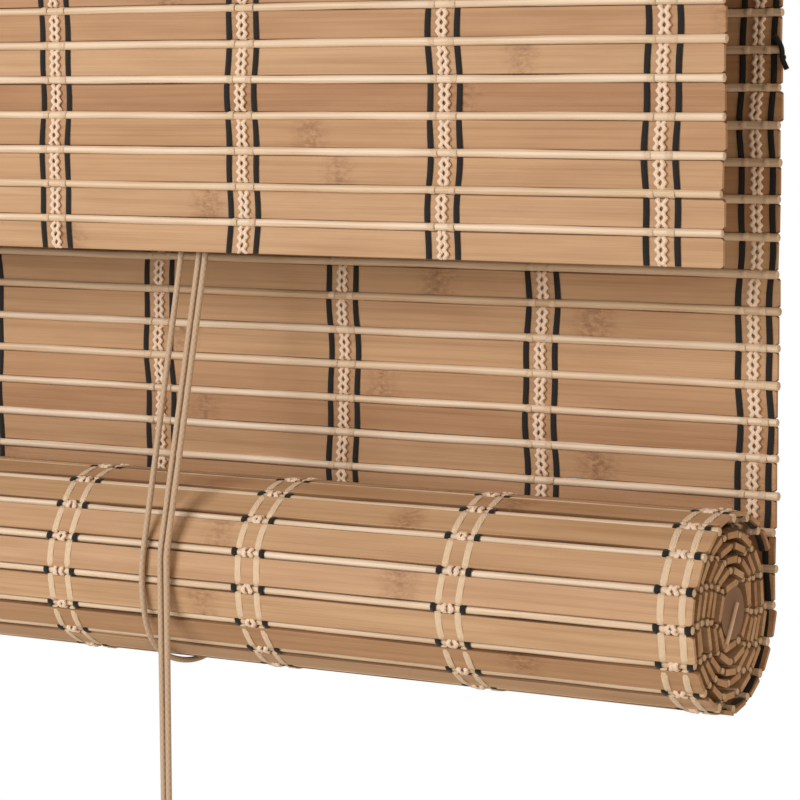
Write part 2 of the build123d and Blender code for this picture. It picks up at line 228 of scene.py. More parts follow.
def cane_group():
    """Cane grain: long fibres along X, darker streaks, soft blotches and evenly spaced brown wrinkled joints.

    The streaks are noise on coordinates squeezed along X. A point's distance to its slat's joint is folded
    back and forth, and the joint mark fades with that distance over about 9 mm. Beyond 4.3 mm from its middle
    a slat darkens to brown along the rod, wider and narrower with a slow noise: painted shade of the gap
    there.
    """
    mark_reach, mark_wobble, mark_strength = 0.0085, 0.012, 0.6
    # The next two lines set where the painted shade along each slat's edges lies and how dark it is. It
    # stands in for the shadow in the gap at the rod.
    gap_shade_start, gap_shade_fade, gap_shade_waver, gap_shade_strength = 0.00428, 0.00025, 0.0009, 0.8
    gap_shade_colour = (0.22, 0.14, 0.09)
    group, source, sink = effect_group("cane", Tone="Float", Shift="Float", Joint="Float", Across="Float")
    split = group.nodes.new("ShaderNodeSeparateXYZ")
    group.links.new(object_place(group), split.inputs[0])
    along_slat = split.outputs["X"]
    tone, shift, joint, across = (source.outputs[n] for n in ("Tone", "Shift", "Joint", "Across"))

    def stretched(along, over):
        """Coordinates squeezed along the slat, moved on for each slat."""
        join = group.nodes.new("ShaderNodeCombineXYZ")
        group.links.new(maths(group, "MULTIPLY", along_slat, along), join.inputs["X"])
        group.links.new(maths(group, "MULTIPLY", across, over), join.inputs["Y"])
        group.links.new(shift, join.inputs["Z"])
        return join.outputs[0]

    fibre = noise(group, stretched(16, 3400), 1.0, 5, 0.65)
    streak = noise(group, stretched(6, 620), 1.0, 4, 0.6)
    blotch = noise(group, stretched(22, 160), 1.0, 3, 0.5)
    base = ramp(group, tone, [
        (0.0, (0.390, 0.212, 0.105)), (0.3, (0.448, 0.261, 0.137)), (0.55, (0.490, 0.300, 0.161)),
        (0.8, (0.530, 0.342, 0.196)), (1.0, (0.486, 0.292, 0.160)),
    ])
    streaks = ramp(group, streak, [(0.28, (0.86, 0.82, 0.77)), (0.52, (1, 1, 1)), (0.75, (1.05, 1.05, 1.05))])
    fibres = ramp(group, fibre, [(0.30, (0.84, 0.80, 0.75)), (0.55, (1, 1, 1))])
    blotches = ramp(group, blotch, [(0.30, (0.88, 0.83, 0.78)), (0.60, (1.03, 1.03, 1.03))])
    colour = mixed(group, "MULTIPLY", 1.0, base, streaks)
    colour = mixed(group, "MULTIPLY", 0.8, colour, fibres)
    colour = mixed(group, "MULTIPLY", 0.8, colour, blotches)

    away = maths(group, "ADD", maths(group, "SUBTRACT", along_slat, joint), 100 * joint_spacing)
    folded = maths(group, "PINGPONG", away, joint_spacing / 2)
    wobble = maths(group, "MULTIPLY", maths(group, "SUBTRACT", blotch, 0.5), mark_wobble)
    distance = maths(group, "DIVIDE", maths(group, "ADD", folded, wobble), mark_reach)
    mark = maths(group, "SMOOTH_MIN", maths(group, "SUBTRACT", 1.0, distance), 1.0, 0.1)
    mark = maths(group, "MAXIMUM", mark, 0.0)
    wrinkle = noise(group, stretched(420, 700), 1.0, 4, 0.65)
    brown = ramp(group, wrinkle, [
        (0.35, (0.14, 0.06, 0.025)), (0.5, (0.30, 0.15, 0.07)), (0.65, (0.47, 0.27, 0.14)),
    ])
    colour = mixed(group, "MIX", maths(group, "MULTIPLY", mark, mark_strength), colour, brown)

    # Painted shade: each slat darkens to brown near its edges, beside the rods, for the shadow in the gap
    # between slat and rod.
    slow = noise(group, stretched(11, 300), 1.0, 2, 0.5)
    waver = maths(group, "MULTIPLY", maths(group, "SUBTRACT", slow, 0.5), gap_shade_waver)
    past = maths(group, "SUBTRACT", maths(group, "ABSOLUTE", across), gap_shade_start)
    past = maths(group, "DIVIDE", maths(group, "ADD", past, waver), gap_shade_fade)
    gap_shade = maths(group, "MINIMUM", maths(group, "MAXIMUM", past, 0.0), 1.0)
    colour = mixed(group, "MULTIPLY", maths(group, "MULTIPLY", gap_shade, gap_shade_strength), colour, gap_shade_colour)
    group.links.new(colour, sink.inputs["Color"])
    rough = maths(group, "MULTIPLY", maths(group, "MULTIPLY", mark, wrinkle), 2.5)
    group.links.new(maths(group, "ADD", shared(group, fibre, streak, 0.5), rough), sink.inputs["Height"])
    return group


def finish_material(name, group, inputs, roughness, bump, distance, specular=0.3):
    """A material whose colour and bump come from an effect group fed by point attributes."""
    material = bpy.data.materials.new(name)
    material.use_nodes = True
    tree = material.node_tree
    shade = tree.nodes["Principled BSDF"]
    effect = tree.nodes.new("ShaderNodeGroup")
    effect.node_tree = group
    for label, key in inputs.items():
        fact = tree.nodes.new("ShaderNodeAttribute")
        fact.attribute_name = key
        tree.links.new(fact.outputs["Fac"], effect.inputs[label])
    tree.links.new(effect.outputs["Color"], shade.inputs["Base Color"])
    relief = tree.nodes.new("ShaderNodeBump")
    relief.inputs["Strength"].default_value = bump
    relief.inputs["Distance"].default_value = distance
    tree.links.new(effect.outputs["Height"], relief.inputs["Height"])
    tree.links.new(relief.outputs["Normal"], shade.inputs["Normal"])
    shade.inputs["Roughness"].default_value = roughness
    shade.inputs["Specular IOR Level"].default_value = specular
    return material


cane_inputs = {"Tone": "tone", "Shift": "shift", "Joint": "joint", "Across": "across"}
cane = finish_material(
    "bamboo_slat", cane_group(), cane_inputs, roughness=0.52, bump=0.35, distance=0.0004
)
chance = np.random.default_rng(7)
full_turn = 6.28


def add_piece(name, verts, faces, material, attributes=None, crease=0.7):
    """A mesh at the origin, smooth up to a crease angle, with one material and numbers for each point."""
    mesh = bpy.data.meshes.new(name)
    mesh.from_pydata(np.asarray(verts).reshape(-1, 3).tolist(), [], np.asarray(faces).reshape(-1, 4).tolist())
    shape = bmesh.new()
    shape.from_mesh(mesh)
    bmesh.ops.recalc_face_normals(shape, faces=shape.faces)
    shape.to_mesh(mesh)
    shape.free()
    for key, values in (attributes or {}).items():
        fact = mesh.attributes.new(key, "FLOAT", "POINT")
        fact.data.foreach_set("value", np.asarray(values, np.float32).ravel())
    mesh.shade_smooth()
    mesh.set_sharp_from_angle(angle=crease)
    mesh.materials.append(material)
    piece = bpy.data.objects.new(name, mesh)
    bpy.context.collection.objects.link(piece)
    return piece


def grid_faces(count, rows, columns):
    """Quads of several closed tubes: rows along each, columns round it, and a cap of quads at either end."""
    row = np.arange(rows - 1)[:, None]
    column = np.arange(columns)[None, :]
    after = (column + 1) % columns
    quads = np.stack(np.broadcast_arrays(
        row * columns + column, row * columns + after,
        (row + 1) * columns + after, (row + 1) * columns + column,
    ), -1).reshape(-1, 4)
    cap = np.array([(columns - k, k - 1, k, columns - k - 1) for k in range(1, columns // 2)])
    one = np.concatenate([quads, cap[:, ::-1], cap + (rows - 1) * columns])
    return (one[None] + (np.arange(count) * rows * columns)[:, None, None]).reshape(-1, 4)


def set_out(places, x, y, z, wobble=0):
    """Points of pieces along X, turned and moved to places (y, z, angle), each angle with its wobble."""
    place_y, place_z, angle = (np.array(v)[:, None, None] for v in zip(*places))
    cosine, sine = np.cos(angle + wobble), np.sin(angle + wobble)
    return np.stack([x, place_y + y * cosine - z * sine, place_z + y * sine + z * cosine], -1)


def slat_facts(count, rows, columns, across):
    """Per-point numbers of a group of slats: each one's tone, shift and joint place, and the way across."""
    tone_middle, tone_spread, shift_reach = 0.53, 0.26, 60
    each = np.ones((count, rows, columns))
    tone = np.clip(chance.normal(tone_middle, tone_spread, count), 0, 1)
    joint = chance.uniform(-joint_spacing / 2, joint_spacing / 2, count)
    shift = chance.uniform(0, shift_reach, count)
    return {
        "tone": each * tone[:, None, None],
        "shift": each * shift[:, None, None],
        "joint": each * joint[:, None, None],
        "across": each * across[None, None, :],
    }


def slats(name, places, half_length, spread, width=0.0094, thickness=0.0014):
    """Slats along X at places (y, z, angle): an eased section, rounded ends and a slight bow.

    The section is eight points, its edges eased by 0.2 mm. The last millimetre at each end narrows by a
    parabola. The bow is two slow sines, 0.15 mm together at most, with their own phases for each slat.
    """
    ease, end_reach, end_narrowing = 0.0002, 0.001, 0.0006
    plain_inset, plain_steps, tilt_spread = 0.03, 23, 0.03
    ends = np.array([0, 0.0002, 0.0005, end_reach, 0.004])
    plain = half_length - plain_inset
    along = np.linspace(-plain, plain, plain_steps)
    stations = np.concatenate([ends - half_length, along, half_length - ends[::-1]])
    narrow = end_narrowing * np.clip(1 - (half_length - np.abs(stations)) / end_reach, 0, 1) ** 2
    side, edge = thickness / 2, width / 2
    section = np.array([
        (-side, ease - edge), (-side, edge - ease), (ease - side, edge), (side - ease, edge),
        (side, edge - ease), (side, ease - edge), (side - ease, -edge), (ease - side, -edge),
    ])
    count, rows, columns = len(places), len(stations), len(section)
    y = np.broadcast_to(section[:, 0], (count, rows, columns))
    z = np.broadcast_to(section[:, 1] * (1 - narrow[:, None] / edge), y.shape)
    phase = chance.uniform(0, full_turn, (count, 2))[:, :, None]
    bow = 0.0001 * np.sin(stations * 7 + phase[:, 0]) + 0.00005 * np.sin(stations * 19 + phase[:, 1])
    slide = chance.normal(0, spread, count)[:, None, None]
    x = np.broadcast_to(stations[None, :, None] + slide, y.shape)
    wobble = chance.normal(0, tilt_spread, count)[:, None, None]
    verts = set_out(places, x, y, z + bow[:, :, None], wobble)
    facts = slat_facts(count, rows, columns, section[:, 1])
    return add_piece(name, verts, grid_faces(count, rows, columns), cane, facts)


half_width = 0.4
pitch = 0.0117
half_slat = 0.0044
valance_y = -0.0211
panel_y, panel_top = 0.022, -0.0028
roll_y, roll_z = -0.009, -0.2799
lift_travel = 0.072
valance_count, panel_count, turn_count = 15, 24, 15
valance_rows = [(valance_y, -half_slat - k * pitch, 0) for k in range(valance_count)]
panel_rows = [(panel_y, panel_top - half_slat - k * pitch, 0) for k in range(panel_count)]


def gather(piece):
    """Give a piece, hung from the panel's top, its own copy of its mesh."""
    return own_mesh(piece)


top_slat = slats("valance_top_slat_cane", valance_rows[:1], half_width, spread=0)
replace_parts(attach(top_slat, "headrail"), "valance_top_slat")
flap_slats = slats("valance_slats_cane", valance_rows[1:], half_width, spread=0.0003)
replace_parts(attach(flap_slats, "valance"), "valance_slats")
sheet_slats = slats("panel_slats_cane", panel_rows, half_width, spread=0.0003, width=0.0096)
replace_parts(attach(sheet_slats, "headrail"), "panel_slats")
gather(sheet_slats)

outer_radius, outer_tightening = 0.031, 0.0005
first_rod_run = 0.00225


def on_roll(angle, radius):
    """Place and tilt of a row on the roll, at an angle in degrees from the rear, going down and round."""
    turn = np.radians(angle)
    return roll_y + radius * np.cos(turn), roll_z - radius * np.sin(turn), -turn


def turn_radius(angle):
    """Radius of the outer turn at an angle in degrees."""
    return outer_radius - outer_tightening * angle / 360


turn_rods = []
turn_rows = []
turn_angle = np.degrees(first_rod_run / outer_radius)
for _ in range(turn_count):
    for places in (turn_rods, turn_rows):
        places.append(on_roll(turn_angle, turn_radius(turn_angle)))
        turn_angle += np.degrees(pitch / 2 / turn_radius(turn_angle))
turn_slats = slats("outer_turn_slats_cane", turn_rows, half_width, spread=0.0005, width=0.009)
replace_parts(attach(turn_slats, "carriage"), "outer_turn_slats")

# Inner turns of the roll.
# Slats wound on each other with a rod at every fold, their ends a little uneven as the photograph shows.
inner_end_radius, inner_turn_pitch, inner_slack = 0.0105, 0.0036, 0.0004
fold_angle, fold_radius = 364.0, 0.0278
folds = []
while fold_radius > inner_end_radius:
    folds.append((fold_angle, fold_radius))
    turned = 2 * np.arcsin(pitch / (2 * fold_radius))
    fold_angle += np.degrees(turned)
    fold_radius -= inner_turn_pitch * turned / (2 * np.pi)
fold_rods = [on_roll(angle, radius - abs(chance.normal(0, inner_slack))) for angle, radius in folds]
wound_rows = []
for (y0, z0, _), (y1, z1, _) in zip(fold_rods, fold_rods[1:]):
    wound_rows.append(((y0 + y1) / 2, (z0 + z1) / 2, np.arctan2(y1 - y0, z0 - z1)))
wound_slats = slats(
    "inner_turns_slats_cane", wound_rows, half_length=0.3987, spread=0.0005, width=0.0098, thickness=0.002
)
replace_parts(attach(wound_slats, "roll"), "inner_turns")


# Rods of the three mats and of the inner turns.
# Cream round sticks, slightly wavy, with uneven cut ends that stick out past the slats.
def mapped(tree, vector, scale=(1, 1, 1), rotation=(0, 0, 0), location=(0, 0, 0)):
    """Coordinates that are scaled, turned and moved."""
    node = tree.nodes.new("ShaderNodeMapping")
    node.inputs["Scale"].default_value = scale
    node.inputs["Rotation"].default_value = rotation
    node.inputs["Location"].default_value = location
    tree.links.new(vector, node.inputs["Vector"])
    return node.outputs[0]


def reed_group():
    """Pale split cane: fine fibres along X and soft patches on a cream tone, brown where Tip says so."""
    group, source, sink = effect_group("reed", Tone="Float", Tip="Float")
    place = object_place(group)
    fibre = noise(group, mapped(group, place, (16, 1500, 1500)), 1.0, 4, 0.6)
    patch = noise(group, mapped(group, place, (26, 40, 40)), 1.0, 2, 0.5)
    base = ramp(group, source.outputs["Tone"], [
        (0, (0.60, 0.437, 0.28)), (0.5, (0.712, 0.558, 0.405)), (1, (0.77, 0.643, 0.51)),
    ])
    fibres = ramp(group, fibre, [(0.25, (0.70, 0.60, 0.48)), (0.5, (1, 1, 1)), (0.8, (1.05, 1.05, 1.05))])
    patches = ramp(group, patch, [(0.3, (0.90, 0.84, 0.76)), (0.6, (1.03, 1.03, 1.03))])
    colour = mixed(group, "MULTIPLY", 0.85, base, fibres)
    colour = mixed(group, "MULTIPLY", 0.8, colour, patches)
    colour = mixed(group, "MIX", source.outputs["Tip"], colour, (0.50, 0.31, 0.15))
    group.links.new(colour, sink.inputs["Color"])
    group.links.new(fibre, sink.inputs["Height"])
    return group


reed_inputs = {"Tone": "tone", "Tip": "tip"}
reed = finish_material(
    "bamboo_rod", reed_group(), reed_inputs, roughness=0.45, bump=0.3, distance=0.0002, specular=0.35
)


def rods(name, places, half_length, spread, thick=0.0027, brown=0.25):
    """Rods along X at rows (y, z, tilt), moved a little to the mat's front, with brown uneven ends.

    Each is a ten-sided tube. Two sines bend it by 0.19 mm up and down at most, two by 0.11 mm back and forth,
    and one swells it by a twentieth.
    """
    sides, forward, tip_share, slide_share = 10, 0.00065, 0.72, 0.6
    tip, plain, plain_steps = 0.9993, 0.998, 57
    size_spread, tone_middle, tone_spread = 0.035, 0.55, 0.2
    stations = np.concatenate([[-1, -tip], np.linspace(-plain, plain, plain_steps), [tip, 1]])
    shrink = np.ones(len(stations))
    shrink[[0, -1]] = tip_share
    count, rows = len(places), len(stations)
    ring = np.arange(sides) * 2 * np.pi / sides
    size = thick / 2 * chance.normal(1, size_spread, count)[:, None, None]
    reach = half_length + np.abs(chance.normal(0, spread, (count, 1, 1)))
    slide = chance.normal(0, spread * slide_share, (count, 1, 1))
    x = stations[None, :, None] * reach + slide + np.zeros(sides)
    phase = chance.uniform(0, full_turn, (count, 4))[:, :, None]
    wave_z = 0.00011 * np.sin(stations * 9 + phase[:, 0]) + 0.00008 * np.sin(stations * 31 + phase[:, 1])
    wave_y = 0.00006 * np.sin(stations * 12 + phase[:, 2]) + 0.00005 * np.sin(stations * 27 + phase[:, 3])
    swell = 1 + 0.05 * np.sin(stations * 53 + phase[:, 1])
    radius = size * (shrink * swell)[:, :, None]
    y = -forward + wave_y[:, :, None] + radius * np.cos(ring)
    z = wave_z[:, :, None] + radius * np.sin(ring)
    tone = np.clip(chance.normal(tone_middle, tone_spread, count), 0, 1)
    chance.uniform(size=count)  # passed over, which keeps the later draws in their order
    each = np.ones((count, rows, sides))
    facts = {"tone": each * tone[:, None, None], "tip": each * (brown * (shrink < 1))[None, :, None]}
    return add_piece(name, set_out(places, x, y, z), grid_faces(count, rows, sides), reed, facts)


def between(rows):
    """Places midway between rows of a flat mat, where its rods lie."""
    return [(y, z - pitch / 2, 0) for y, z, _ in rows[:-1]]


hinge_rod = rods("valance_hinge_rod_reed", between(valance_rows)[:1], half_length=0.3998, spread=0.0003)
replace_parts(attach(hinge_rod, "headrail"), "valance_hinge_rod")
flap_rods = rods("valance_rods_reed", between(valance_rows)[1:], half_length=0.3996, spread=0.0005)
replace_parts(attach(flap_rods, "valance"), "valance_rods")
sheet_rods = rods("panel_rods_reed", between(panel_rows), half_length=0.3999, spread=0.0005)
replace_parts(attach(sheet_rods, "headrail"), "panel_rods")
gather(sheet_rods)
ring_rods = rods("outer_turn_rods_reed", turn_rods, half_length=0.3996, spread=0.0006)
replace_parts(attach(ring_rods, "carriage"), "outer_turn_rods")
wound_rods = rods(
    "inner_turns_rods_reed", fold_rods, half_length=0.3984, spread=0.0003, thick=0.0021, brown=0.75
)
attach(wound_rods, "roll")


# Stitching of the mats.
# A pair of black threads goes in front of the slats and behind the rods, a pair of pale threads the other way
# round, and a chain of two pale strands runs down the front between them.
def thread_group():
    """Spun thread: a tint with slanting strands and soft fuzz, a wave on leaning coordinates and a noise."""
    group, source, sink = effect_group("thread", Tint="Color")
    lean = mapped(group, object_place(group), (900, 300, 900), rotation=(0, 0.6, 0))
    strand = group.nodes.new("ShaderNodeTexWave")
    strand.inputs["Scale"].default_value = 0.9
    strand.inputs["Distortion"].default_value = 2.5
    group.links.new(lean, strand.inputs["Vector"])
    fuzz = noise(group, lean, 1.3, 3, 0.6)
    both = shared(group, strand.outputs["Fac"], fuzz, 0.55)
    shade = ramp(group, both, [(0.2, (0.62, 0.58, 0.54)), (0.55, (1, 1, 1)), (0.85, (1.12, 1.12, 1.12))])
    group.links.new(mixed(group, "MULTIPLY", 1.0, source.outputs["Tint"], shade), sink.inputs["Color"])
    group.links.new(both, sink.inputs["Height"])
    return group


spun = thread_group()


def effect_of(material):
    """The effect group's node in a material."""
    return next(n for n in material.node_tree.nodes if n.bl_idname == "ShaderNodeGroup")


def thread_material(name, tint, roughness):
    """A matt thread of one tint."""
    material = finish_material(name, spun, {}, roughness, bump=0.5, distance=0.0002, specular=0.2)
    effect_of(material).inputs["Tint"].default_value = (*tint, 1)
    material.node_tree.nodes["Principled BSDF"].inputs["Sheen Weight"].default_value = 0.15
    return material


def whole_wave(*half):
    """A thread's way over one row: distance and depth up to the rod's middle, then the same back again.

    The half is given in mm and the whole is in metres.
    """
    half = np.array(half) / 1000
    return np.concatenate([half, half[-2:0:-1] * (-1, 1) + (pitch, 0)])


black_yarn = thread_material("black_thread", (0.014, 0.0125, 0.012), roughness=0.75)
pale_yarn = thread_material("pale_thread", (0.75, 0.58, 0.405), roughness=0.7)
chain_yarn = thread_material("chain_thread", (0.88, 0.70, 0.55), roughness=0.75)
stitch_spacing, stitch_count = 0.0759, 11
valance_stitch_inset, panel_stitch_inset = 0.0205, 0.0078
black_offset, black_width, black_thickness = 0.0053, 0.0021, 0.00055
pale_offset, pale_width, pale_thickness = 0.0036, 0.0023, 0.0005
mean_turn_radius = 0.03085
valance_lines = half_width - valance_stitch_inset - stitch_spacing * np.arange(stitch_count)
panel_lines = half_width - panel_stitch_inset - stitch_spacing * np.arange(stitch_count)
black_wave = whole_wave((0, -0.95), (3.2, -0.95), (4.4, -0.92), (4.68, -0.3), (4.85, 0.8), (5.85, 1.0))
pale_wave = whole_wave(
    (0, 0.9), (3.2, 0.9), (4.5, 0.87), (4.68, -0.3), (4.82, -1.5), (5.2, -2.05), (5.85, -2.22),
)


def weave(wave, count):
    """Distance along a mat and depth through it, for a thread over a count of rows and no further."""
    edge = 0.00445
    run = (wave[None, :, 0] + np.arange(-1, count)[:, None] * pitch).ravel()
    depth = np.tile(wave[:, 1], count + 1)
    inside = (run > -edge) & (run < (count - 1) * pitch + edge)
    return run[inside], depth[inside]


def flat_mat(y, z):
    """Where a point lies, at a distance down a flat mat from its first row and a depth through it."""
    return lambda run, depth: (y + depth, z - run)


def rolled_mat(run, depth):
    """The same on the outer turn, where distance becomes an angle and depth adds to the radius."""
    angle = np.degrees(first_rod_run / outer_radius + (run + pitch / 2) / mean_turn_radius)
    y, z, _ = on_roll(angle, turn_radius(angle) + depth)
    return y, z


def strands(name, lines, run, depth, mat, width, thickness, material, sway=0):
    """Threads along a mat at each line: an oval section carried along the path, its flat side to the mat.

    Each stitch line drifts to the side by two sines of the distance, 0.8 mm together at most.
    """
    sides = 6
    y, z = mat(run, depth)
    ty, tz = np.gradient(y), np.gradient(z)
    long = np.hypot(ty, tz) + 1e-9
    ring = np.arange(sides) * 2 * np.pi / sides
    stitch = np.round(lines[:, None] / stitch_spacing)
    drift = 0.0005 * np.sin(run * 95 + stitch * 2.4) + 0.0003 * np.sin(run * 230 + stitch * 4.1)
    x = lines[:, None, None] + (drift + sway)[:, :, None] + width / 2 * np.cos(ring)
    out = thickness / 2 * np.sin(ring)
    py = y[None, :, None] - (tz / long)[None, :, None] * out + np.zeros_like(x)
    pz = z[None, :, None] + (ty / long)[None, :, None] * out + np.zeros_like(x)
    verts = np.stack([x, py, pz], -1)
    return add_piece(name, verts, grid_faces(len(lines), len(run), sides), material, crease=1.4)


def pairs(lines, offset):
    """Two threads at each line, an offset to either side."""
    return np.concatenate([lines - offset, lines + offset])


def chain(name, lines, count, mat):
    """Two zigzag strands side by side, in front of slats and behind rods, roughly mirrored in each row.

    The depth is a smooth step at each side of a rod. The way across is a sine with 4.25 waves to a row.
    """
    edge, steps = 0.0042, 22
    front, dip, dip_half_width, dip_ease = 0.00125, 0.0025, 0.00147, 0.00015
    offset, swing, waves, apart_spread = 0.00098, 0.0005, 4.25, 0.8
    width, thickness = 0.0018, 0.0011
    run = np.linspace(-edge, (count - 1) * pitch + edge, steps * count)
    row = np.round(run / pitch).astype(int)
    from_rod = np.abs((run / pitch) % 1 - 0.5) * pitch
    depth = -front + dip / (1 + np.exp((from_rod - dip_half_width) / dip_ease))
    phase = chance.uniform(0, full_turn, (len(lines), count))
    apart = np.pi + chance.normal(0, apart_spread, (len(lines), count))
    both = []
    for word, side, start in (("left", -1, phase), ("right", 1, phase + apart)):
        sway = side * offset + swing * np.sin(run / pitch * 2 * np.pi * waves + start[:, row])
        both.append(strands(f"{name}_{word}", lines, run, depth, mat, width, thickness, chain_yarn, sway))
    return both


for name, body, node, lines, count, mat in (
    ("valance_top", "headrail", None, valance_lines, 1, flat_mat(*valance_rows[0][:2])),
    ("valance", "valance", "valance", valance_lines, valance_count - 1, flat_mat(*valance_rows[1][:2])),
    ("panel", "headrail", "panel", panel_lines, panel_count, flat_mat(*panel_rows[0][:2])),
    ("outer_turn", "carriage", "outer_turn", panel_lines, turn_count, rolled_mat),
):
    black_lines, pale_lines = pairs(lines, black_offset), pairs(lines, pale_offset)
    run, depth = weave(black_wave, count)
    black = strands(
        f"{name}_black_yarn", black_lines, run, depth, mat, black_width, black_thickness, black_yarn
    )
    run, depth = weave(pale_wave, count)
    pale = strands(f"{name}_pale_yarn", pale_lines, run, depth, mat, pale_width, pale_thickness, pale_yarn)
    links = chain(f"{name}_chain_yarn", lines, count, mat)
    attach(black, body)
    for piece in (pale, *links):
        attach(piece, body)
    if name == "panel":
        for piece in (black, pale, *links):
            gather(piece)
    if node == "outer_turn":
        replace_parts(pale, "outer_turn_threads")
    elif node:
        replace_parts(black, f"{node}_black_threads")
        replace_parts(pale, f"{node}_back_threads")
        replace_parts(links[0], f"{node}_chain_threads")


# Core of the roll.
# A dark round stick, kept as modelled and given a finish, and the pale, slightly crooked peg across its end.
def timber_group():
    """Wood: rings round X from a wave on bent coordinates, and fine fibres, from a dark to a light colour."""
    group, source, sink = effect_group("timber", Place="Vector", Rings="Float", Dark="Color", Light="Color")
    place = source.outputs["Place"]
    rings = group.nodes.new("ShaderNodeTexWave")
    rings.wave_type = "RINGS"
    rings.rings_direction = "X"
    rings.inputs["Distortion"].default_value = 3
    rings.inputs["Detail"].default_value = 3
    group.links.new(place, rings.inputs["Vector"])
    group.links.new(source.outputs["Rings"], rings.inputs["Scale"])
    fibre = noise(group, mapped(group, place, (12, 1400, 1400)), 1.0, 4, 0.6)
    both = shared(group, rings.outputs["Fac"], fibre, 0.5)
    spread = ramp(group, both, [(0.2, (0, 0, 0)), (0.75, (1, 1, 1))])
    colour = mixed(group, "MIX", spread, source.outputs["Dark"], source.outputs["Light"])
    group.links.new(colour, sink.inputs["Color"])
    group.links.new(fibre, sink.inputs["Height"])
    return group


timber = timber_group()


def wood(name, middle, rings, dark, light, roughness):
    """A wood finish with its rings about a middle point, where rings is the scale of their wave."""
    material = finish_material(name, timber, {}, roughness, bump=0.25, distance=0.0002)
    tree = material.node_tree
    effect = effect_of(material)
    place = mapped(tree, object_place(tree), location=[-c for c in middle])
    tree.links.new(place, effect.inputs["Place"])
    effect.inputs["Rings"].default_value = rings
    effect.inputs["Dark"].default_value = (*dark, 1)
    effect.inputs["Light"].default_value = (*light, 1)
    return material


def dress(material, *names):
    """Give carried-over solids one finish."""
    for name in names:
        nodes[name].data.materials.clear()
        nodes[name].data.materials.append(material)


def tube(name, points, side, diameter, material):
    """A round tube along points, its ring set out from a side direction that the line never runs along."""
    sides = 12
    ahead = np.gradient(points, axis=0)
    ahead /= np.linalg.norm(ahead, axis=1)[:, None]
    across = np.cross(ahead, side)
    across /= np.linalg.norm(across, axis=1)[:, None]
    up = np.cross(across, ahead)
    ring = np.arange(sides) / sides
    cosine, sine = np.cos(ring * 2 * np.pi)[:, None], np.sin(ring * 2 * np.pi)[:, None]
    verts = points[:, None] + diameter / 2 * (across[:, None] * cosine + up[:, None] * sine)
    run = np.concatenate([[0], np.cumsum(np.linalg.norm(np.diff(points, axis=0), axis=1))])
    facts = {"run": np.repeat(run, sides), "ring": np.tile(ring, len(points))}
    return add_piece(name, verts, grid_faces(1, len(points), sides), material, facts)


low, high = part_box("core_dowel")
core_middle = (low + high) / 2
core_rings, core_roughness = 14, 0.7
core_dark, core_light = (0.185, 0.100, 0.060), (0.245, 0.146, 0.092)
dress(wood("core_wood", core_middle, core_rings, core_dark, core_light, core_roughness), "core_dowel")
peg_diameter, peg_crook, peg_steps = 0.0015, 0.0002, 12
peg_inset_y, peg_inset_z = 0.0005, 0.0003
peg_dark, peg_light = (0.52, 0.36, 0.24), (0.66, 0.49, 0.34)
low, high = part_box("core_peg")
peg_x = (low[0] + high[0]) / 2
peg_foot = (peg_x, low[1] + peg_inset_y, low[2] + peg_inset_z)
peg_tip = (peg_x, high[1] - peg_inset_y, high[2] - peg_inset_z)
peg_line = np.linspace(peg_foot, peg_tip, peg_steps)
peg_line[:, 1] += peg_crook * np.sin(np.linspace(0, 5, peg_steps))
peg_wood = wood("core_peg", core_middle, core_rings, peg_dark, peg_light, core_roughness)
peg = tube("core_peg_stick", peg_line, (1, 0, 0), peg_diameter, peg_wood)
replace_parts(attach(peg, "roll"), "core_peg")


# Lift cords and pull cords.
# Two braided cords go from the headrail down behind, under the roll and up in front.
# They turn over the wheels and hang down to the pull.
def braid_group():
    """Braided cord: two crossing sets of slanting strands, sines of the way along and round, and fuzz."""
    strand_pitch, strand_count = 0.0022, 3
    group, source, sink = effect_group("braid", Run="Float", Ring="Float")
    along = maths(group, "MULTIPLY", source.outputs["Run"], 2 * np.pi / strand_pitch)
    about = maths(group, "MULTIPLY", source.outputs["Ring"], 2 * np.pi * strand_count)
    left = maths(group, "SINE", maths(group, "ADD", along, about))
    right = maths(group, "SINE", maths(group, "SUBTRACT", along, about))
    cross = maths(group, "ADD", maths(group, "MULTIPLY", maths(group, "ADD", left, right), 0.25), 0.5)
    both = shared(group, cross, noise(group, object_place(group), 2600, 3, 0.6), 0.6)
    shade = ramp(group, both, [
        (0.2, (0.43, 0.314, 0.217)), (0.5, (0.50, 0.371, 0.260)), (0.85, (0.555, 0.418, 0.302)),
    ])
    group.links.new(shade, sink.inputs["Color"])
    group.links.new(both, sink.inputs["Height"])
    return group


braid_inputs = {"Run": "run", "Ring": "ring"}
braid = finish_material(
    "cord", braid_group(), braid_inputs, roughness=0.8, bump=0.15, distance=0.0002, specular=0.2
)
cord_diameter = 0.002


def spline_points(name, route, steps=6):
    """Points along a smooth spline that has the route's points as its control points."""
    curve = bpy.data.curves.new(name, "CURVE")
    curve.dimensions = "3D"
    line = curve.splines.new("NURBS")
    line.points.add(len(route) - 1)
    line.points.foreach_set("co", np.column_stack([route, np.ones(len(route))]).ravel())
    line.order_u = 3
    line.use_endpoint_u = True
    curve.resolution_u = steps
    holder = bpy.data.objects.new(name, curve)
    drawn = bpy.data.meshes.new_from_object(holder)
    points = np.empty(len(drawn.vertices) * 3)
    drawn.vertices.foreach_get("co", points)
    bpy.data.meshes.remove(drawn)
    bpy.data.objects.remove(holder)
    bpy.data.curves.remove(curve)
    return points.reshape(-1, 3)


def cord_tube(name, points, side):
    """A piece of cord along points."""
    return tube(name, points, side, cord_diameter, braid)


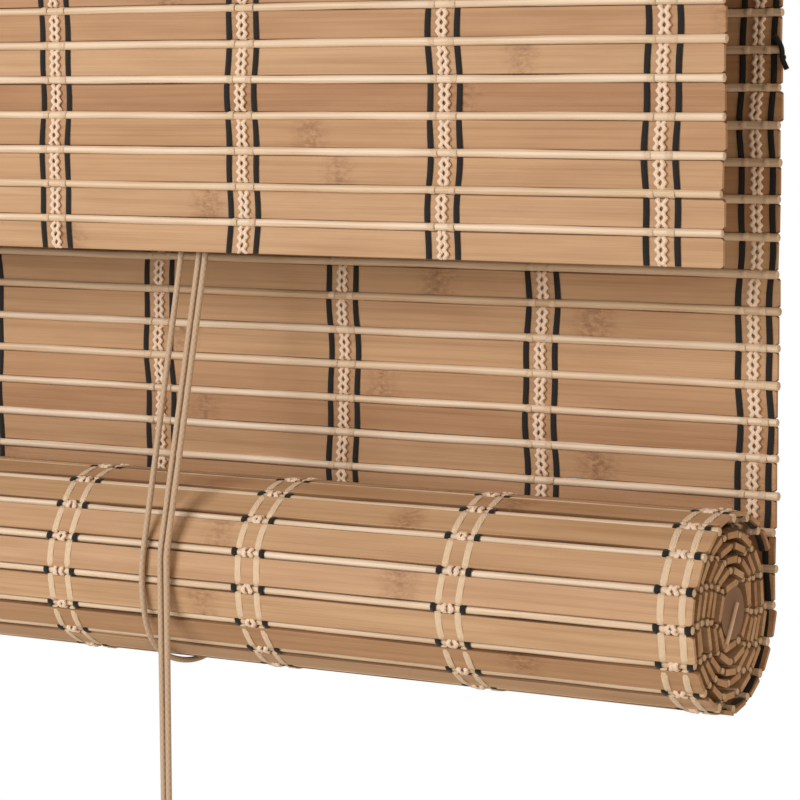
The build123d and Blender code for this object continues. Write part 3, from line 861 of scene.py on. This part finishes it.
def over_edge(name, points, gap):
    """A strand that goes down behind the valance and out under its lower edge to the roll, as four pieces.

    The first stays and the others get their own meshes. The heights where the strand would come to lie on the
    lifted roll, where a circle of radius gap about the roll's axis has the strand's depth, are worked out,
    not used.
    """
    edge = int(np.argmin(np.abs(points[:, 2] - pass_z)))
    meets = [int(np.argmin(np.abs(points[:, 1] - depth))) for depth in meet_depths]
    cuts = [edge, *meets, len(points) - 1]
    on_lifted = roll_z + lift_travel + np.sqrt(gap**2 - (points[meets, 1] - roll_y) ** 2)
    rest = points[cuts, 2]
    lifted = [rest[0], *on_lifted, rest[-1] + lift_travel]
    paths = [points[: edge + 1]] + [points[a : b + 1] for a, b in zip(cuts, cuts[1:])]
    pieces = []
    for k, path in enumerate(paths):
        pieces.append(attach(cord_tube(f"{name}_cord_{k}", path, (1, 0, 0)), "headrail"))
    for piece, high, low, high_lifted, low_lifted in zip(pieces[1:], rest, rest[1:], lifted, lifted[1:]):
        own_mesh(piece)
    return pieces, paths


def eased(corner, before, after):
    """A corner with a point on either run at six diameters, so that the runs stay straight up to it."""
    beside = []
    for far in (before, after):
        away = np.subtract(far, corner)
        long = np.linalg.norm(away)
        beside.append(corner + away / long * min(6 * cord_diameter, long / 2))
    return [beside[0], corner, beside[1]]


lift_x = 0.2
front_plane, back_plane = -0.016, -0.0115
wheel_z, wheel_radius = -0.0305, 0.00425
pull_x = lift_x + 2 * wheel_radius
pass_y, pass_z = -0.017, -0.1726
meet_depths = -0.0265, -0.0362
front_reach, tangent_z = 0.0338, -0.2717
front_y = roll_y - front_reach
hank_x, hank_top = 0.2108, -0.3549
hang_xs = {"right": 0.2087, "left": hank_x}
loop_radius, loop_end, loop_steps = 0.033, 194.05, 24
slack, slack_angle, slack_spread = 0.0024, 138, 22
rising_gap, falling_gap = 0.0336, 0.0344
for name, sign, plane_y, pass_x, front_x in (
    ("right", 1, front_plane, 0.2072, 0.208), ("left", -1, back_plane, 0.2098, 0.2105),
):
    rise_x = sign * lift_x
    rear = [(rise_x, roll_y + loop_radius, panel_top), (rise_x, roll_y + loop_radius, roll_z)]
    rear_strand = cord_tube(f"{name}_back_strand_cord", spline_points("rear", rear), (1, 0, 0))
    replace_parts(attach(rear_strand, "headrail"), f"{name}_back_strand")
    gather(rear_strand)

    turns = np.linspace(0, loop_end, loop_steps)
    reach = loop_radius + slack * np.exp(-(((turns - slack_angle) / slack_spread) ** 2))
    loop_y, loop_z, _ = on_roll(turns, reach)
    under = np.column_stack([np.full(loop_steps, rise_x), loop_y, loop_z])
    loop = cord_tube(f"{name}_cord_loop_cord", spline_points("under", under), (1, 0, 0))
    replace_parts(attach(loop, "carriage"), f"{name}_cord_loop")

    top, foot = (rise_x, plane_y, wheel_z), tuple(under[-1])
    rising = [top, *eased((rise_x, pass_y, pass_z), top, foot), foot]
    path = spline_points("rising", rising, steps=24)
    front_strand, _ = over_edge(f"{name}_front_strand", path, rising_gap)
    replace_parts(front_strand[0], f"{name}_front_strand")

    top, edge = (pull_x, plane_y, wheel_z), (pass_x, pass_y, pass_z)
    corner, hung = (front_x, front_y, tangent_z), (front_x, front_y, roll_z)
    falling = [top, *eased(edge, top, corner), *eased(corner, edge, hung), hung]
    path = spline_points("falling", falling, steps=24)
    pull_upper, paths = over_edge(f"{name}_pull_upper", path, falling_gap)
    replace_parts(pull_upper[0], f"{name}_pull_upper")
    for piece, path in zip(pull_upper, paths):
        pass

    low_end = (hang_xs[name], front_y, hank_top)
    middle = ((front_x + hang_xs[name]) / 2, front_y, (roll_z + hank_top) / 2)
    path = spline_points("hanging", [hung, middle, low_end], steps=16)
    lower = cord_tube(f"{name}_pull_lower_cord", path, (1, 0, 0))
    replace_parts(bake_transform(lower), f"{name}_pull_lower")


def wheel_arc(axle_x, plane_y, end_angle, count):
    """Points over a wheel in its plane, from its left side at 180 degrees to an end angle."""
    turn = np.radians(np.linspace(180, end_angle, count))
    x, z = axle_x + wheel_radius * np.cos(turn), wheel_z + wheel_radius * np.sin(turn)
    return np.column_stack([x, np.full(count, plane_y), z])


over = wheel_arc(lift_x + wheel_radius, front_plane, end_angle=0, count=9)
cord_turn = cord_tube("right_cord_turn_cord", spline_points("over", over), (0, 1, 0))
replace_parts(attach(cord_turn, "headrail"), "right_cord_turn")
first = wheel_arc(wheel_radius - lift_x, back_plane, end_angle=90, count=6)
last = first[::-1] * (-1, 1, 1) + (2 * wheel_radius, 0, 0)
crossing = cord_tube("cross_cord_cord", spline_points("crossing", np.concatenate([first, last])), (0, 1, 0))
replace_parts(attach(crossing, "headrail"), "cross_cord")

# Loose end of a black thread at the panel's right edge.
# It leaves the last stitch line beside a rod and hangs over the slats' ends.
rod_z = between(panel_rows)[8][1]
loose_y = panel_y - 0.0017
for name, thick, route in (
    ("panel_loose_end_long", 0.0017, [
        (0.3980, loose_y, rod_z + 0.0045), (0.3996, loose_y, rod_z + 0.0025),
        (0.4007, loose_y, rod_z), (0.4007, loose_y, rod_z - 0.0028),
        (0.4014, loose_y, rod_z - 0.0042), (0.4023, loose_y, rod_z - 0.0060),
    ]),
    ("panel_loose_end_short", 0.0013, [
        (0.4000, loose_y, rod_z - 0.0019), (0.4008, loose_y, rod_z - 0.0024),
        (0.4018, loose_y, rod_z - 0.0023),
    ]),
):
    loose = tube(name, spline_points(name, route), (0, 1, 0), thick, black_yarn)
    gather(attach(loose, "headrail"))

# Put-away end of the pull cords.
# Each cord is folded into twelve long turns, in three layers of four, held by a wound tie.
# Both end in the turned acorn.
hank_y = front_y
acorn_wood = wood(
    "acorn_wood", middle=(hank_x, hank_y, -0.43), rings=60,
    dark=(0.34, 0.185, 0.085), light=(0.48, 0.285, 0.145), roughness=0.45,
)
dress(acorn_wood, "acorn")
tie_diameter, tie_turns, tie_steps, tie_squareness = 0.0017, 4, 48, 0.4
low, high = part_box("hank_tie")
tie_half = np.subtract(high, low)[:2] / 2 - tie_diameter / 2
turn = np.linspace(0, tie_turns * 2 * np.pi, tie_turns * tie_steps + 1)
wrap = np.column_stack([np.cos(turn), np.sin(turn)])
wrap = np.sign(wrap) * np.abs(wrap) ** tie_squareness * tie_half + (hank_x, hank_y)
wrap_z = np.linspace(high[2] - tie_diameter / 2, low[2] + tie_diameter / 2, len(turn))
wrap = np.column_stack([wrap, wrap_z])
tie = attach(tube("hank_tie_wrap", wrap, (0, 0, 1), tie_diameter, braid), "pull")
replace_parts(tie, "hank_tie")

turn_top, turn_bottom = hank_top - 0.0095, hank_top - 0.0525
acorn_top = -0.4189
hank_turns, hank_steps, layer_turns = 12, 18, 4
inner_half, lane_pitch = 0.006, 0.00194
layer_front, layer_pitch, layer_changes = 0.005, 0.002, (3.5, 7.5)
bend_sharpness = 1.35
for name, side in (("right", -1), ("left", 1)):
    done = np.arange(hank_turns * hank_steps + 1) / hank_steps
    lane = np.abs((done + layer_turns) % (2 * layer_turns) - layer_turns)
    half = inner_half + lane_pitch * lane
    deep = layer_front - layer_pitch * sum(np.clip(done - change, 0, 1) for change in layer_changes)
    turn = done * 2 * np.pi
    straight = (turn_top - turn_bottom) / 2 - half
    bend = np.clip(bend_sharpness * np.sin(turn), -1, 1)
    x = hank_x + side * half * np.cos(turn)
    z = (turn_top + turn_bottom) / 2 - straight * bend - half * np.sin(turn)
    coil = np.column_stack([x, hank_y + side * deep, z])
    start = (hang_xs[name], hank_y, hank_top)
    lead = [
        start, (hang_xs[name], hank_y + side * 0.0015, hank_top - 0.004),
        (hank_x + side * 0.003, hank_y + side * 0.0068, hank_top - 0.011),
        (hank_x + side * 0.0055, hank_y + side * 0.0068, hank_top - 0.02),
    ]
    tail = [
        (hank_x + side * 0.0135, hank_y + side * 0.001, turn_bottom + 0.014),
        (hank_x + side * 0.011, hank_y + side * 0.001, turn_bottom + 0.001),
        (hank_x + side * 0.003, hank_y, turn_bottom - 0.006), (hank_x + side * 0.0011, hank_y, acorn_top),
    ]
    path = spline_points("hank", np.concatenate([lead, coil, tail]), steps=3)
    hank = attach(cord_tube(f"{name}_hank_cord", path, (0, 1, 0)), "pull")
    if name == "right":
        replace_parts(hank, "cord_hank", "acorn_tail")


# Headrail and fittings.
# A plain stained board, with the steel, plastic and brass of the cord lock and pulley on its underside.
def fitting(name, colour, metallic, roughness, grain):
    """A smooth fitting with faint wear: a noise that shifts its roughness and darkens its colour a little."""
    wear_share, wear_roughness = 0.82, 0.2
    material = bpy.data.materials.new(name)
    material.use_nodes = True
    tree = material.node_tree
    shade = tree.nodes["Principled BSDF"]
    wear = noise(tree, object_place(tree), grain, 4, 0.6)
    tint = ramp(tree, wear, [(0.3, tuple(c * wear_share for c in colour)), (0.65, colour)])
    tree.links.new(tint, shade.inputs["Base Color"])
    uneven = maths(tree, "MULTIPLY", wear, wear_roughness)
    tree.links.new(maths(tree, "ADD", uneven, roughness - wear_roughness / 2), shade.inputs["Roughness"])
    shade.inputs["Metallic"].default_value = metallic
    return material


headrail_wood = wood(
    "headrail_wood", middle=(0, 0.05, -0.03), rings=60,
    dark=(0.28, 0.145, 0.065), light=(0.46, 0.27, 0.135), roughness=0.55,
)
dress(headrail_wood, "headrail")
steel = fitting("steel", (0.60, 0.59, 0.57), metallic=1, roughness=0.35, grain=400)
dress(steel, "bracket_screws", "valance_staples", "panel_staples", "cord_staples")
dress(steel, "pulley_bracket", "pulley_pin", "lock_housing", "lock_wheel_pin", "lock_cam_pin")
plastic = fitting("white_plastic", (0.80, 0.78, 0.74), metallic=0, roughness=0.4, grain=300)
dress(plastic, "pulley_wheel", "lock_front_wheel", "lock_back_wheel")
brass = fitting("brass", (0.72, 0.52, 0.22), metallic=1, roughness=0.32, grain=300)
dress(brass, "lock_cam")

low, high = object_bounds()
